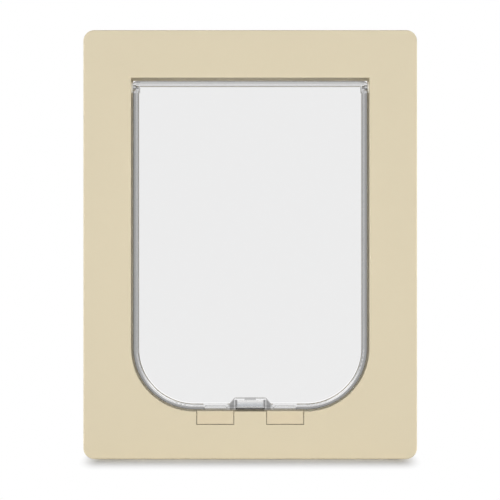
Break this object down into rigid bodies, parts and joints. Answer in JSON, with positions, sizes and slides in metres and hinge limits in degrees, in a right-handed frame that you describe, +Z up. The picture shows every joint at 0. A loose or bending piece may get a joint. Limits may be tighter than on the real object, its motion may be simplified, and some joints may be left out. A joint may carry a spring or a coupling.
{
  "type": "pet door",
  "caption": "Cream moulded pet door with a clear rigid flap that swings both ways, a magnetic catch at its foot and slides in the sill that lock it.",
  "frame": {"origin": "middle of the underside of the two flanges, on the surface that the door stands on", "axes": "+X to the right seen from the front, +Y from the front frame to the rear frame, +Z up"},
  "size_m": [0.34, 0.05, 0.437],
  "materials": {
    "frame_plastic": "satin moulded plastic, cream",
    "slide_plastic": "satin moulded plastic, a slightly yellower cream",
    "clear_plastic": "clear polished plastic",
    "cover_plastic": "dark moulded plastic",
    "magnet_plate": "plated, satin",
    "ferrite": "dull dark grey",
    "pin_plastic": "clear plastic rod",
    "bush_nylon": "natural nylon",
    "screw_steel": "zinc plated"
  },
  "bodies": {
    "frame": {"front_frame": "frame_plastic", "rear_frame": "frame_plastic", "fixing_screws": "screw_steel", "hinge_bush_left": "bush_nylon", "hinge_bush_right": "bush_nylon", "sill_magnet": "ferrite"},
    "flap": {"flap": "clear_plastic", "flap_magnet": "magnet_plate", "magnet_cover": "cover_plastic", "hinge_pin_left": "pin_plastic", "hinge_pin_right": "pin_plastic"},
    "lock_left": {"lock_slide_left": "slide_plastic", "lock_blade_left": "slide_plastic", "blade_screw_left": "screw_steel"},
    "lock_right": {"lock_slide_right": "slide_plastic", "lock_blade_right": "slide_plastic", "blade_screw_right": "screw_steel"}
  },
  "joints": [
    {"name": "flap_swing", "type": "hinge", "parent": "frame", "child": "flap", "pos_m": [0, -0.009, 0.3796], "axis": [1, 0, 0], "range_deg": [-100, 94]},
    {"name": "lock_left_slide", "type": "slide", "parent": "frame", "child": "lock_left", "axis": [0, 0, 1], "range_m": [0, 0.005]},
    {"name": "lock_right_slide", "type": "slide", "parent": "frame", "child": "lock_right", "axis": [0, 0, 1], "range_m": [0, 0.005]}
  ]
}
